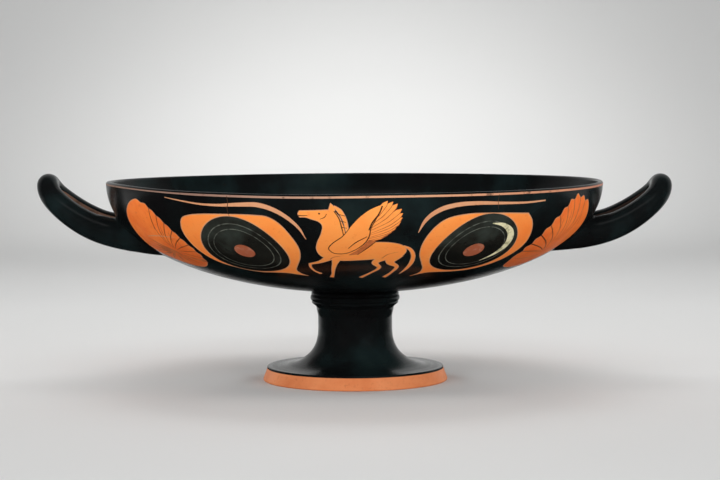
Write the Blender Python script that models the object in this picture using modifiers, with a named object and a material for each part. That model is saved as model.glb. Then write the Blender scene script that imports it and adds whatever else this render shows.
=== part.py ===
"""A stemmed, two-handled drinking cup of fired clay, turned on a wheel.

Metres, +Z up. The origin is on the axis, at the foot's resting plane, and the handles lie along X.
The bowl, stem and foot are one turned body, and the two horseshoe handles are fused to it.
"""

from math import acos, asin, cos, exp, pi, radians, sin, sqrt

import bmesh
import bpy
import numpy as np

COLLECTION_NAME = "kylix_cup"
CUTTER_COLLECTION_NAME = "kylix_cutters"

# Bowl: a superellipse on its outer side and another on its inner side
RIM_RADIUS = 0.165
BOWL_DEPTH = 0.0728
LIP_THICKNESS = 0.0032
FLOOR_THICKNESS = 0.0052
BOWL_OUTWARD_POWER = 1.95
BOWL_DOWNWARD_POWER = 2.12
BOWL_OUTER_STEPS = 12
BOWL_INNER_STEPS = 9
LIP_STEPS = 3

# Collar under the bowl: two rounded mouldings with an incised line under each, then a bevel
COLLAR_PROJECTION = 0.0051
COLLAR_TOP_MOULDING = 0.0029
COLLAR_MAIN_MOULDING = 0.0035
INCISED_DEPTH = 0.0005
INCISED_WIDTH = 0.0006
COLLAR_BEVEL = 0.0036
MOULDING_STEPS = 2

# Stem, and the flare that spreads to the foot
NECKING_PROJECTION = 0.0011
NECKING_HEIGHT = 0.0069
STEM_RADIUS = 0.0248
STEM_STRAIGHT = 0.0065
FLARE_HEIGHT = 0.0264
FLARE_POWER = 2.5
FLARE_STEPS = 8

# Foot: a thin lip over a band that leans out, and a flat ring that it rests on
FOOT_RADIUS = 0.0617
FOOT_BAND_LEAN = 0.0027
FOOT_BAND_HEIGHT = 0.0082
FOOT_LIP_HEIGHT = 0.0014
FOOT_LIP_ROUNDING = 0.0006
FOOT_ROUNDING = 0.0010
RESTING_RING_WIDTH = 0.0075

# Hollow under the foot
HOLLOW_RISE = 0.0015
HOLLOW_CORE_RADIUS = 0.012
HOLLOW_SHOULDER_HEIGHT = 0.028
HOLLOW_DOME_HEIGHT = 0.008
HOLLOW_POWER = 2.2
HOLLOW_STEPS = 5
HOLLOW_DOME_STEPS = 2

# Handles: one round rod each, bent to a horseshoe that rises towards its tip
HANDLE_REACH = 0.0466
HANDLE_ROOT_DROP = 0.0327
LEFT_HANDLE_RISE = 0.0324
RIGHT_HANDLE_RISE = 0.0309
HANDLE_HALF_WIDTH = 0.0247
HANDLE_ROOT_SPLAY = 0.0045
HANDLE_SPLAY_LENGTH = 0.020
HANDLE_PLAN_POWER = 2.7
HANDLE_RISE_POWER = 1.85
HANDLE_HOOK_POWER = 8.0
HANDLE_HOOK_SHARE = 0.255
HANDLE_CURVE_SAMPLES = 400
ROD_TIP_RADIUS = 0.0070
ROD_ROOT_RADIUS = 0.0096
ROOT_SWELL = 0.0014
ROOT_SWELL_LENGTH = 0.006
ROOT_SWELL_LIMIT = 2.2
ROOT_RUN_IN = 0.026
ROD_POINTS = 37
ROD_BEVEL_RESOLUTION = 4

TURNED_SIDES = 64
MERGE_DISTANCE = 0.00001
SHARP_ANGLE = radians(50)
CUTTER_OVERTRAVEL = 0.02

BLACK_GLOSS = (0.012, 0.012, 0.013)
GLOSS_ROUGHNESS = 0.28


def clear_scene():
    for thing in list(bpy.data.objects):
        bpy.data.objects.remove(thing, do_unlink=True)


def make_collection(name):
    collection = bpy.data.collections.new(name)
    bpy.context.scene.collection.children.link(collection)
    return collection


def make_material(name, colour, roughness, metallic=0.0):
    material = bpy.data.materials.new(name)
    material.use_nodes = True
    shader = material.node_tree.nodes["Principled BSDF"]
    shader.inputs["Base Color"].default_value = (*colour, 1.0)
    shader.inputs["Roughness"].default_value = roughness
    shader.inputs["Metallic"].default_value = metallic
    return material


# Heights and radii that follow from the sizes above

def foot_height():
    return FOOT_BAND_HEIGHT + FOOT_LIP_HEIGHT


def flare_top():
    return foot_height() + FLARE_HEIGHT


def bevel_top():
    return flare_top() + STEM_STRAIGHT + NECKING_HEIGHT + COLLAR_BEVEL


def collar_top():
    return bevel_top() + COLLAR_MAIN_MOULDING + COLLAR_TOP_MOULDING + 2 * INCISED_WIDTH


def collar_radius():
    return STEM_RADIUS + COLLAR_PROJECTION


def collar_join_radius():
    return collar_radius() - COLLAR_TOP_MOULDING


def foot_band_radius():
    return FOOT_RADIUS - FOOT_BAND_LEAN


def inner_radius():
    return RIM_RADIUS - LIP_THICKNESS


def inner_depth():
    return BOWL_DEPTH - FLOOR_THICKNESS


# Bowl curve

def bowl_drop(radius, depth, at_radius):
    """How far below the rim the bowl's side is at a radius."""
    share = min(at_radius / radius, 1.0)
    return depth * (1 - share ** BOWL_OUTWARD_POWER) ** (1 / BOWL_DOWNWARD_POWER)


def bowl_spread(radius, depth, drop):
    """The bowl's radius at a distance below the rim."""
    share = min(drop / depth, 1.0)
    return radius * (1 - share ** BOWL_DOWNWARD_POWER) ** (1 / BOWL_OUTWARD_POWER)


def rim_height():
    return collar_top() + bowl_drop(RIM_RADIUS, BOWL_DEPTH, collar_join_radius())


def bowl_points(radius, depth, first_drop, last_radius, steps):
    """Points of the bowl's side in even turns, from a drop below the rim in to a radius."""
    first = asin((first_drop / depth) ** (BOWL_DOWNWARD_POWER / 2))
    last = acos((last_radius / radius) ** (BOWL_OUTWARD_POWER / 2))
    points = []
    for step in range(steps + 1):
        turn = first + (last - first) * step / steps
        out = radius * max(cos(turn), 0.0) ** (2 / BOWL_OUTWARD_POWER)
        points.append((out, rim_height() - depth * sin(turn) ** (2 / BOWL_DOWNWARD_POWER)))
    return points


# Turned profile, as (radius, height) points

def arc(centre, radius_out, radius_up, start, end, steps):
    """Points along an ellipse's arc, both ends included."""
    points = []
    for step in range(steps + 1):
        angle = start + (end - start) * step / steps
        points.append((centre[0] + radius_out * cos(angle), centre[1] + radius_up * sin(angle)))
    return points


def bowl_inside():
    """From the axis, along the floor and up the inner wall, to just under the lip."""
    points = bowl_points(inner_radius(), inner_depth(), LIP_THICKNESS / 2, 0.0, BOWL_INNER_STEPS)
    points[-1] = (0.0, rim_height() - inner_depth())
    return points[:0:-1]


def lip():
    """A half-round edge from the inner wall over to the outer wall."""
    half = LIP_THICKNESS / 2
    return arc((RIM_RADIUS - half, rim_height() - half), half, half, pi, 0.0, LIP_STEPS)


def bowl_outside():
    """From under the lip down to where the collar begins."""
    points = bowl_points(
        RIM_RADIUS, BOWL_DEPTH, LIP_THICKNESS / 2, collar_join_radius(), BOWL_OUTER_STEPS)
    return points[1:]


def collar():
    """Two half-rounds with an incised line after each, and the bevel down to the necking."""
    top_end = collar_top() - COLLAR_TOP_MOULDING
    main_top = top_end - INCISED_WIDTH
    main_end = main_top - COLLAR_MAIN_MOULDING
    edge = collar_radius() - INCISED_DEPTH
    points = arc(
        (edge - COLLAR_TOP_MOULDING, top_end), COLLAR_TOP_MOULDING, COLLAR_TOP_MOULDING,
        radians(75), radians(8), MOULDING_STEPS)
    points.append((edge - INCISED_DEPTH, (top_end + main_top) / 2))
    half = COLLAR_MAIN_MOULDING / 2
    points += arc(
        (collar_radius() - half / 2, main_top - half), half / 2, half,
        radians(65), radians(-75), MOULDING_STEPS)
    points += [
        (edge - INCISED_DEPTH, (main_end + bevel_top()) / 2),
        (edge - INCISED_DEPTH / 2, bevel_top())]
    return points


def stem_and_flare():
    """The necking, the straight stem, then a concave superellipse out to the foot's lip."""
    straight_top = flare_top() + STEM_STRAIGHT
    points = [
        (STEM_RADIUS + NECKING_PROJECTION, straight_top + NECKING_HEIGHT),
        (STEM_RADIUS + NECKING_PROJECTION / 2, straight_top + NECKING_HEIGHT / 2),
        (STEM_RADIUS, straight_top),
        (STEM_RADIUS, flare_top())]
    width = foot_band_radius() - FOOT_LIP_ROUNDING - STEM_RADIUS
    for step in range(1, FLARE_STEPS + 1):
        turn = pi / 2 * step / FLARE_STEPS
        out = STEM_RADIUS + width * (1 - max(cos(turn), 0.0) ** (2 / FLARE_POWER))
        points.append((out, flare_top() - FLARE_HEIGHT * sin(turn) ** (2 / FLARE_POWER)))
    return points


def foot_edge():
    """The thin lip, the band that leans out, and the rounded lower edge."""
    points = [
        (foot_band_radius(), FOOT_BAND_HEIGHT + FOOT_LIP_HEIGHT / 2),
        (foot_band_radius(), FOOT_BAND_HEIGHT)]
    centre = (FOOT_RADIUS - FOOT_ROUNDING, FOOT_ROUNDING)
    return points + arc(centre, FOOT_ROUNDING, FOOT_ROUNDING, radians(25), radians(-90), 3)


def foot_hollow():
    """The resting ring, the step up from it, and the hollow that runs up into the stem."""
    ring_inner = FOOT_RADIUS - FOOT_ROUNDING - RESTING_RING_WIDTH
    mouth = ring_inner - HOLLOW_RISE
    points = [(ring_inner, 0.0), (mouth, HOLLOW_RISE)]
    width = mouth - HOLLOW_CORE_RADIUS
    height = HOLLOW_SHOULDER_HEIGHT - HOLLOW_RISE
    for step in range(1, HOLLOW_STEPS + 1):
        turn = pi / 2 * step / HOLLOW_STEPS
        out = HOLLOW_CORE_RADIUS + width * (1 - sin(turn) ** (2 / HOLLOW_POWER))
        up = HOLLOW_RISE + height * (1 - max(cos(turn), 0.0) ** (2 / HOLLOW_POWER))
        points.append((out, up))
    dome = arc(
        (0.0, HOLLOW_SHOULDER_HEIGHT), HOLLOW_CORE_RADIUS, HOLLOW_DOME_HEIGHT,
        0.0, pi / 2, HOLLOW_DOME_STEPS)
    dome[-1] = (0.0, HOLLOW_SHOULDER_HEIGHT + HOLLOW_DOME_HEIGHT)
    return points + dome[1:]


def cup_profile():
    return (bowl_inside() + lip() + bowl_outside() + collar() + stem_and_flare()
            + foot_edge() + foot_hollow())


def mid_wall_profile():
    """A core that fills the bowl up to the middle of its wall, open sky above it included."""
    radius = (RIM_RADIUS + inner_radius()) / 2
    depth = (BOWL_DEPTH + inner_depth()) / 2
    top = rim_height() + CUTTER_OVERTRAVEL
    points = [(0.0, top), (radius, top)] + bowl_points(radius, depth, 0.0, 0.0, BOWL_INNER_STEPS)
    points[-1] = (0.0, rim_height() - depth)
    return points


def turned_object(name, profile, collection):
    """A body of revolution: the profile is a chain of edges with a Screw modifier."""
    mesh = bpy.data.meshes.new(name)
    points = [(out, 0.0, up) for out, up in profile]
    edges = [(index, index + 1) for index in range(len(points) - 1)]
    mesh.from_pydata(points, edges, [])
    thing = bpy.data.objects.new(name, mesh)
    collection.objects.link(thing)
    screw = thing.modifiers.new("turning", "SCREW")
    screw.angle = 2 * pi
    screw.axis = "Z"
    screw.steps = TURNED_SIDES
    screw.render_steps = TURNED_SIDES
    screw.use_merge_vertices = True
    screw.merge_threshold = MERGE_DISTANCE
    return thing


# Handles

def handle_centreline(rise):
    """The rod's middle line, from one root over the tip to the other root."""
    root_x = sqrt(bowl_spread(RIM_RADIUS, BOWL_DEPTH, HANDLE_ROOT_DROP) ** 2 - HANDLE_HALF_WIDTH ** 2)
    root_z = rim_height() - HANDLE_ROOT_DROP
    length = RIM_RADIUS + HANDLE_REACH - ROD_TIP_RADIUS - root_x
    half = []
    for turn in np.linspace(0.0, pi / 2, HANDLE_CURVE_SAMPLES):
        out = sin(turn) ** (2 / HANDLE_PLAN_POWER)
        across = HANDLE_HALF_WIDTH * max(cos(turn), 0.0) ** (2 / HANDLE_PLAN_POWER)
        sweep = (1 - HANDLE_HOOK_SHARE) * out ** HANDLE_RISE_POWER
        up = sweep + HANDLE_HOOK_SHARE * out ** HANDLE_HOOK_POWER
        splay = HANDLE_ROOT_SPLAY * max(1 - length * out / HANDLE_SPLAY_LENGTH, 0.0) ** 2
        half.append((root_x + length * out, across + splay, root_z + rise * up))
    half = np.array(half)
    run_in = np.array([root_x - ROOT_RUN_IN, half[0][1] + HANDLE_ROOT_SPLAY, root_z])
    half = np.vstack([run_in, half])
    other = half[-2::-1] * (1, -1, 1)
    return evenly_spaced(np.vstack([half, other]), ROD_POINTS)


def evenly_spaced(line, count):
    steps = np.linalg.norm(np.diff(line, axis=0), axis=1)
    along = np.concatenate([[0.0], np.cumsum(steps)])
    wanted = np.linspace(0.0, along[-1], count)
    return np.stack([np.interp(wanted, along, line[:, axis]) for axis in range(3)], axis=1)


def rod_radius(from_wall, to_tip):
    """The rod thins towards its tip, and swells where it is pressed on to the bowl."""
    share = min(max(from_wall / to_tip, 0.0), 1.0)
    swell = ROOT_SWELL * min(exp(-from_wall / ROOT_SWELL_LENGTH), ROOT_SWELL_LIMIT)
    return ROD_ROOT_RADIUS + (ROD_TIP_RADIUS - ROD_ROOT_RADIUS) * share + swell


def handle_tube(name, side, rise, collection):
    """One rod as a curve with a round bevel, turned into a closed mesh."""
    line = handle_centreline(rise)
    steps = np.linalg.norm(np.diff(line, axis=0), axis=1)
    along = np.concatenate([[0.0], np.cumsum(steps)])
    to_tip = along[-1] / 2 - ROOT_RUN_IN
    curve = bpy.data.curves.new(name, "CURVE")
    curve.dimensions = "3D"
    curve.bevel_depth = 1.0
    curve.bevel_resolution = ROD_BEVEL_RESOLUTION
    curve.use_fill_caps = True
    spline = curve.splines.new("POLY")
    spline.points.add(len(line) - 1)
    for point, place, run in zip(spline.points, line, along):
        from_wall = min(run, along[-1] - run) - ROOT_RUN_IN
        point.co = (side * place[0], place[1], place[2], 1.0)
        point.radius = rod_radius(from_wall, to_tip)
    rod = bpy.data.objects.new(name + "_curve", curve)
    collection.objects.link(rod)
    bpy.context.view_layer.update()
    return mesh_from_curve(rod, name, collection)


def mesh_from_curve(rod, name, collection):
    evaluated = rod.evaluated_get(bpy.context.evaluated_depsgraph_get())
    mesh = bpy.data.meshes.new_from_object(evaluated)
    mesh.name = name
    work = bmesh.new()
    work.from_mesh(mesh)
    bmesh.ops.remove_doubles(work, verts=work.verts, dist=MERGE_DISTANCE)
    bmesh.ops.recalc_face_normals(work, faces=work.faces)
    work.to_mesh(mesh)
    work.free()
    thing = bpy.data.objects.new(name, mesh)
    thing.matrix_world = rod.matrix_world
    collection.objects.link(thing)
    bpy.data.objects.remove(rod, do_unlink=True)
    return thing


def add_boolean(thing, other, operation):
    modifier = thing.modifiers.new(operation.lower() + "_" + other.name, "BOOLEAN")
    modifier.operation = operation
    modifier.object = other
    modifier.solver = "EXACT"


def mark_as_cutter(thing):
    thing.hide_render = True
    thing.display_type = "WIRE"


def bake_modifiers(thing):
    """Keep the finished form as one mesh, smooth but for its real edges."""
    bpy.context.view_layer.update()
    evaluated = thing.evaluated_get(bpy.context.evaluated_depsgraph_get())
    mesh = bpy.data.meshes.new_from_object(evaluated)
    thing.modifiers.clear()
    thing.data = mesh
    mesh.shade_smooth()
    mesh.set_sharp_from_angle(angle=SHARP_ANGLE)


def build_cup():
    clear_scene()
    parts = make_collection(COLLECTION_NAME)
    cutters = make_collection(CUTTER_COLLECTION_NAME)
    core = turned_object("bowl_core", mid_wall_profile(), cutters)
    mark_as_cutter(core)
    cup = turned_object("kylix", cup_profile(), parts)
    handles = (("handle_left", -1, LEFT_HANDLE_RISE), ("handle_right", 1, RIGHT_HANDLE_RISE))
    for name, side, rise in handles:
        rod = handle_tube(name, side, rise, cutters)
        mark_as_cutter(rod)
        add_boolean(rod, core, "DIFFERENCE")
        add_boolean(cup, rod, "UNION")
    bake_modifiers(cup)
    cup.data.materials.append(make_material("black_gloss_clay", BLACK_GLOSS, GLOSS_ROUGHNESS))


build_cup()
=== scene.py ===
"""The finish of a stemmed, two-handled drinking cup painted with eyes, palmettes and a winged horse.

The cup's fine surface is one closed mesh on the frame's sizes. The painting is laid out on the bowl's
outer wall in degrees round the axis (0 faces the viewer, + goes right) and millimetres down from the rim,
and its outlines are edges of the mesh. Lengths are millimetres until the mesh is made.
"""

from math import asin, ceil, cos, pi, radians, sin, sqrt

import bpy
import numpy as np
from mathutils import Matrix, Vector
from mathutils.geometry import delaunay_2d_cdt


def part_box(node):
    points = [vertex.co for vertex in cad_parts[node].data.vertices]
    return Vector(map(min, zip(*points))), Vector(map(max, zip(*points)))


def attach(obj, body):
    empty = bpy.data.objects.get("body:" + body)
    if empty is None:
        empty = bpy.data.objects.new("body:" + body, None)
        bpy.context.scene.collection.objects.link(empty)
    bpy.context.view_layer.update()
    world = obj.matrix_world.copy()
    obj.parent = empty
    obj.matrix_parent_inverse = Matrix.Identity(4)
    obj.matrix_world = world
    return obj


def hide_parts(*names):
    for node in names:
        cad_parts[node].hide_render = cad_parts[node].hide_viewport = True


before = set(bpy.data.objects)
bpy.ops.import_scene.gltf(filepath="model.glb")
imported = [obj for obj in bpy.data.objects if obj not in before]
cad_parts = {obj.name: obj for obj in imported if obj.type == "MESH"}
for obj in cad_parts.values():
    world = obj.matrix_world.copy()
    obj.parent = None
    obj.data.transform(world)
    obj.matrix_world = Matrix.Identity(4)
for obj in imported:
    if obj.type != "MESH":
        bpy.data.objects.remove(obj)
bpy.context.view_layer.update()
MM = 0.001
NODE_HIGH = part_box("kylix")[1]

# The turned body, as the frame has it
RIM_RADIUS = NODE_HIGH.y / MM
BOWL_DEPTH = 72.8
RIM_HEIGHT = 132.39
LIP_THICKNESS = 3.2
FLOOR_THICKNESS = 5.2
OUTWARD_POWER = 1.95
DOWNWARD_POWER = 2.12
COLLAR_RADIUS = 29.9
COLLAR_TOP = 60.6
TOP_MOULDING = 2.9
MAIN_MOULDING = 3.5
INCISED_DEPTH = 0.5
INCISED_WIDTH = 0.6
GROOVE_INSET = 0.2
GROOVE_HALF_DEPTH = 0.3
GROOVE_HALF_HEIGHT = 0.25
BEVEL_TOP = 53.0
BEVEL_ROUNDING = 0.5
NECKING_TOP = 49.4
NECKING_PROJECTION = 1.1
NECKING_SCOOP_WIDTH = 0.9
NECKING_SCOOP_HEIGHT = 0.7
STRAIGHT_TOP = 42.5
STEM_RADIUS = 24.8
FLARE_TOP = 36.0
FLARE_POWER = 2.5
FOOT_TOP = 9.6
FOOT_RADIUS = 61.7
FOOT_BAND_RADIUS = 59.0
FOOT_BAND_HEIGHT = 8.2
FOOT_LIP_RADIUS = 0.6
FOOT_ROUNDING = 1.0
FOOT_BARE_BELOW = 8.3
RESTING_RING_INNER = 53.2
RING_EDGE_WIDTH = 0.4
RING_EDGE_RISE = 0.12
HOLLOW_RISE = 1.5
HOLLOW_CORE_RADIUS = 12.0
HOLLOW_SHOULDER_HEIGHT = 28.0
HOLLOW_DOME_HEIGHT = 8.0
HOLLOW_POWER = 2.2
TONDO_LINE_INNER = 46.0
TONDO_LINE_OUTER = 48.0

# The handles, as the frame has them but for a sharper turn up at the tip and fuller roots below
HANDLE_REACH = NODE_HIGH.x / MM - RIM_RADIUS - 0.1
HANDLE_ROOT_DROP = 32.7
LEFT_HANDLE_RISE = 32.2
RIGHT_HANDLE_RISE = 30.7
HANDLE_HALF_WIDTH = 24.7
HANDLE_ROOT_SPLAY = 4.5
HANDLE_SPLAY_LENGTH = 20.0
HANDLE_PLAN_POWER = 2.7
HANDLE_RISE_POWER = 2.1
HANDLE_HOOK_POWER = 30.0
HANDLE_HOOK_SHARE = 0.12
ROD_TIP_RADIUS = 7.0
ROD_ROOT_RADIUS = 9.6
ROOT_SWELL = 1.4
ROOT_SWELL_LENGTH = 6.0
ROOT_SWELL_LIMIT = 2.2
ROOT_RUN_IN = 26.0
LEFT_LOW_SWELL = 4.2
RIGHT_LOW_SWELL = 2.2
LOW_SWELL_START = 6.0
LOW_SWELL_LENGTH = 7.0
FILLET_ABOVE = 4.5
FILLET_BELOW = 1.5
BARE_HALF_ANGLE = 46.0
LINE_STEPS = 600
RUN_IN_STEPS = 60
EVEN_STEPS = 900

# The rim isn't quite level: it rises towards the handles, most of all to the left of the front
RIM_RISE = 1.1
RIM_LEFT_RISE = 1.4
RIM_LEFT_AZIMUTH = -68.0
RIM_LEFT_SPREAD = 22.0
RIM_DIP = 0.5
RIM_DIP_AZIMUTH = -12.0
RIM_DIP_SPREAD = 14.0
UNEVEN_FROM = 100.0
UNEVEN_FADE = 6.0

# Fineness of the mesh
BOWL_COLUMNS = 360
INNER_WALL_POINTS = 54
LIP_STEPS = 12
UNDER_BOWL_POINTS = 24
STEM_COLUMNS = 180
WALL_ROW_PITCH = 2.9
CURVE_SPACING = 1.0
ROD_SIDES = 44
ROD_RINGS = 130
FILLET_RINGS = 6

# The painted zone of the outer wall
ZONE_END = 92.0
SEAM_AZIMUTH = -90.0
RIM_LINE_TOP = 1.1
RIM_LINE_END = 2.45
TABLE_STEPS = 4000
CHART_MM_PER_DEGREE = 2.6
CHART_SCALE = np.array([CHART_MM_PER_DEGREE, 1.0])

# Where the painting's colours change, in metres: heights on the wall or distances from the middle.
# The clay's painted light grows upwards and inwards, and the palmettes' painted shade downwards.
CLAY_PAINTED_LIGHT_UPWARDS = (0.08, 0.128)
CLAY_PAINTED_LIGHT_INWARDS = (0.10, 0.02)
CLAY_PAINTED_SHADE_DOWNWARDS = (0.106, 0.074)
IRIS_PALES_UPWARDS = (0.076, 0.122)
SIDE_TO_SIDE = (-0.17, 0.17)

# The materials' numbers, how strongly they mirror, and how little the wheel's marks change round the pot
GLOSS, CLAY, PALMETTE, LINE, CREAM, WORN, RED = range(7)
FOOT_CLAY, DILUTE, PALE_CLAY_AND_HIGHLIGHT, RIM_CLAY, SHADED_HANDLE_CLAY, IRIS = range(7, 13)
GLOSS_SPECULAR = 0.16
CLAY_SPECULAR = 0.2
WHEEL_DRIFT = 0.02


# Curves of the turned body

def running_sum(lengths):
    return np.concatenate([[0.0], np.cumsum(lengths)])


def unit(vectors):
    return vectors / np.linalg.norm(vectors, axis=-1, keepdims=True)


def round_axis(out, azimuth, up):
    """Places or directions at a distance from the axis, at degrees round it and at a height."""
    angle = np.radians(azimuth)
    return np.stack(np.broadcast_arrays(out * np.sin(angle), -out * np.cos(angle), up), axis=-1)


def azimuth_of(places):
    return np.degrees(np.arctan2(places[:, 0], -places[:, 1]))


def bowl_curve(radius, depth, turn):
    """Radius and drop below the rim at a turn of the superellipse, 0 at the rim and pi/2 on the axis."""
    out = radius * np.maximum(np.cos(turn), 0.0) ** (2 / OUTWARD_POWER)
    return out, depth * np.sin(turn) ** (2 / DOWNWARD_POWER)


def bowl_normal(radius, depth, out, drop):
    """The bowl curve's outward normal as (radial, upward) parts."""
    radial = OUTWARD_POWER / radius * (out / radius) ** (OUTWARD_POWER - 1)
    upward = -DOWNWARD_POWER / depth * (drop / depth) ** (DOWNWARD_POWER - 1)
    length = np.hypot(radial, upward)
    return radial / length, upward / length


WALL_TURN = np.linspace(0.0, pi / 2, TABLE_STEPS)
WALL_RADIUS, WALL_DROP = bowl_curve(RIM_RADIUS, BOWL_DEPTH, WALL_TURN)
WALL_RUN = running_sum(np.hypot(np.diff(WALL_RADIUS), np.diff(WALL_DROP)))
LIP_RADIUS = LIP_THICKNESS / 2
ZONE_START = float(np.interp(LIP_RADIUS, WALL_DROP, WALL_RUN))


def wall_radius(run):
    return np.interp(run, WALL_RUN, WALL_RADIUS)


def wall_drop(run):
    return np.interp(run, WALL_RUN, WALL_DROP)


def wall_point(azimuth, run):
    """Places and normals on the outer wall, for arrays of degrees and millimetres from the rim."""
    out = wall_radius(run)
    drop = wall_drop(run)
    radial, upward = bowl_normal(RIM_RADIUS, BOWL_DEPTH, out, drop)
    return round_axis(out, azimuth, RIM_HEIGHT - drop), round_axis(radial, azimuth, upward)


def rim_rise(azimuth):
    """How far the rim stands above its true height, at degrees round the axis from -180 to 180."""
    azimuth = (np.asarray(azimuth) + 180.0) % 360.0 - 180.0
    left = np.exp(-((azimuth - RIM_LEFT_AZIMUTH) / RIM_LEFT_SPREAD) ** 2)
    dip = np.exp(-((azimuth - RIM_DIP_AZIMUTH) / RIM_DIP_SPREAD) ** 2)
    return RIM_RISE * np.sin(np.radians(azimuth)) ** 4 + RIM_LEFT_RISE * left - RIM_DIP * dip


def rim_share(up):
    """How much of the rim's unevenness is left at a height on the bowl."""
    share = np.clip((up - UNEVEN_FROM) / (RIM_HEIGHT - UNEVEN_FROM), 0.0, 1.0)
    return share * share * (3 - 2 * share)


def arc(centre, radius_out, radius_up, start, end, steps):
    angle = np.radians(np.linspace(start, end, steps + 1))
    return np.stack([centre[0] + radius_out * np.cos(angle), centre[1] + radius_up * np.sin(angle)], 1)


def straight(start, end, steps):
    return np.linspace(start, end, steps + 1)


def join(*stretches):
    """One profile from several, without the points that two of them share."""
    points = [np.asarray(stretches[0], float)]
    for stretch in stretches[1:]:
        stretch = np.asarray(stretch, float)
        shared = np.hypot(*(stretch[0] - points[-1][-1])) < 1e-6
        points.append(stretch[1:] if shared else stretch)
    return np.vstack(points)


def inside_profile():
    """From the middle of the floor up the inner wall and over the lip to its outermost point."""
    radius = RIM_RADIUS - LIP_THICKNESS
    depth = BOWL_DEPTH - FLOOR_THICKNESS
    first = asin((LIP_RADIUS / depth) ** (DOWNWARD_POWER / 2))
    out, drop = bowl_curve(radius, depth, np.linspace(pi / 2, first, INNER_WALL_POINTS))
    wall = np.stack([out, RIM_HEIGHT - drop], 1)
    wall[0, 0] = 0.0
    centre = (RIM_RADIUS - LIP_RADIUS, RIM_HEIGHT - LIP_RADIUS)
    lip = arc(centre, LIP_RADIUS, LIP_RADIUS, 180, 0, LIP_STEPS)
    return join(wall[:-1], lip)


def under_bowl_profile():
    """From the painted zone's end in to where the collar begins."""
    end = np.interp(-(COLLAR_RADIUS - TOP_MOULDING), -WALL_RADIUS, WALL_RUN)
    run = np.linspace(ZONE_END, end, UNDER_BOWL_POINTS)
    return np.stack([wall_radius(run), RIM_HEIGHT - wall_drop(run)], 1)


def stem_profile():
    """The collar's two half-rounds, the bevel, necking, stem and flare, down to the foot's lip."""
    top_end = COLLAR_TOP - TOP_MOULDING
    main_top = top_end - INCISED_WIDTH
    main_end = main_top - MAIN_MOULDING
    edge = COLLAR_RADIUS - INCISED_DEPTH
    half = MAIN_MOULDING / 2
    groove = edge - INCISED_DEPTH + GROOVE_INSET
    upper_groove = (groove, (top_end + main_top) / 2)
    lower_groove = (groove, (main_end + BEVEL_TOP) / 2 - 0.1)
    collar = join(
        arc((edge - TOP_MOULDING, top_end), TOP_MOULDING, TOP_MOULDING, 78, 4, 8),
        arc(upper_groove, GROOVE_HALF_DEPTH, GROOVE_HALF_HEIGHT, 110, 250, 4),
        arc((COLLAR_RADIUS - half / 2, main_top - half), half / 2, half, 72, -78, 10),
        arc(lower_groove, GROOVE_HALF_DEPTH, GROOVE_HALF_HEIGHT, 110, 230, 4))
    necking_out = STEM_RADIUS + NECKING_PROJECTION
    bevel = join(
        arc((edge - 0.9, BEVEL_TOP - 0.8), BEVEL_ROUNDING, BEVEL_ROUNDING, 40, -35, 4),
        straight((edge - 1.4, BEVEL_TOP - 1.9), (necking_out + 0.5, NECKING_TOP + 0.5), 3))
    scoop = (necking_out + NECKING_SCOOP_WIDTH, NECKING_TOP - 0.4)
    necking = arc(scoop, NECKING_SCOOP_WIDTH, NECKING_SCOOP_HEIGHT, 130, 190, 3)
    turn = np.linspace(0.0, 1.0, 9)[1:, None]
    ease = turn * turn * (3 - 2 * turn)
    neck = np.hstack([
        STEM_RADIUS + NECKING_PROJECTION * (1 - ease),
        NECKING_TOP - 0.5 + (STRAIGHT_TOP - NECKING_TOP + 0.5) * turn])
    stem = straight((STEM_RADIUS, STRAIGHT_TOP), (STEM_RADIUS, FLARE_TOP), 3)
    width = FOOT_BAND_RADIUS - FOOT_LIP_RADIUS - STEM_RADIUS
    turn = np.linspace(0.0, pi / 2, 30)
    flare = np.stack([
        STEM_RADIUS + width * (1 - np.maximum(np.cos(turn), 0.0) ** (2 / FLARE_POWER)),
        FLARE_TOP - (FLARE_TOP - FOOT_TOP) * np.sin(turn) ** (2 / FLARE_POWER)], 1)
    return join(collar, bevel, necking, neck, stem, flare)


def foot_profile():
    """The rounded lip, the band that leans out and the rounded edge that it ends in."""
    lip_centre = (FOOT_BAND_RADIUS - FOOT_LIP_RADIUS, FOOT_TOP - FOOT_LIP_RADIUS)
    lip = arc(lip_centre, FOOT_LIP_RADIUS, FOOT_LIP_RADIUS, 90, 0, 4)
    band_start = (FOOT_BAND_RADIUS, FOOT_BAND_HEIGHT)
    edge_centre = (FOOT_RADIUS - FOOT_ROUNDING, FOOT_ROUNDING)
    rounding = arc(edge_centre, FOOT_ROUNDING, FOOT_ROUNDING, 22, -90, 6)
    return join(lip[1:], [band_start], straight(band_start, rounding[0], 5)[1:], rounding)


def underside_profile():
    """The resting ring, the step up and the hollow that runs up into the stem."""
    mouth = RESTING_RING_INNER - HOLLOW_RISE
    ring_end = (RESTING_RING_INNER + RING_EDGE_WIDTH, 0.0)
    ring = straight((FOOT_RADIUS - FOOT_ROUNDING, 0.0), ring_end, 3)
    step = [(RESTING_RING_INNER, RING_EDGE_RISE), (mouth, HOLLOW_RISE)]
    turn = np.linspace(0.0, pi / 2, 22)
    width = mouth - HOLLOW_CORE_RADIUS
    height = HOLLOW_SHOULDER_HEIGHT - HOLLOW_RISE
    rise = np.stack([
        HOLLOW_CORE_RADIUS + width * (1 - np.sin(turn) ** (2 / HOLLOW_POWER)),
        HOLLOW_RISE + height * (1 - np.maximum(np.cos(turn), 0.0) ** (2 / HOLLOW_POWER))], 1)
    dome = arc((0.0, HOLLOW_SHOULDER_HEIGHT), HOLLOW_CORE_RADIUS, HOLLOW_DOME_HEIGHT, 0, 90, 7)
    dome[-1, 0] = 0.0
    return join(ring, step, rise[1:], dome)


# Drawing on the wall's chart: points are (degrees round the axis, millimetres from the rim)

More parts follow.
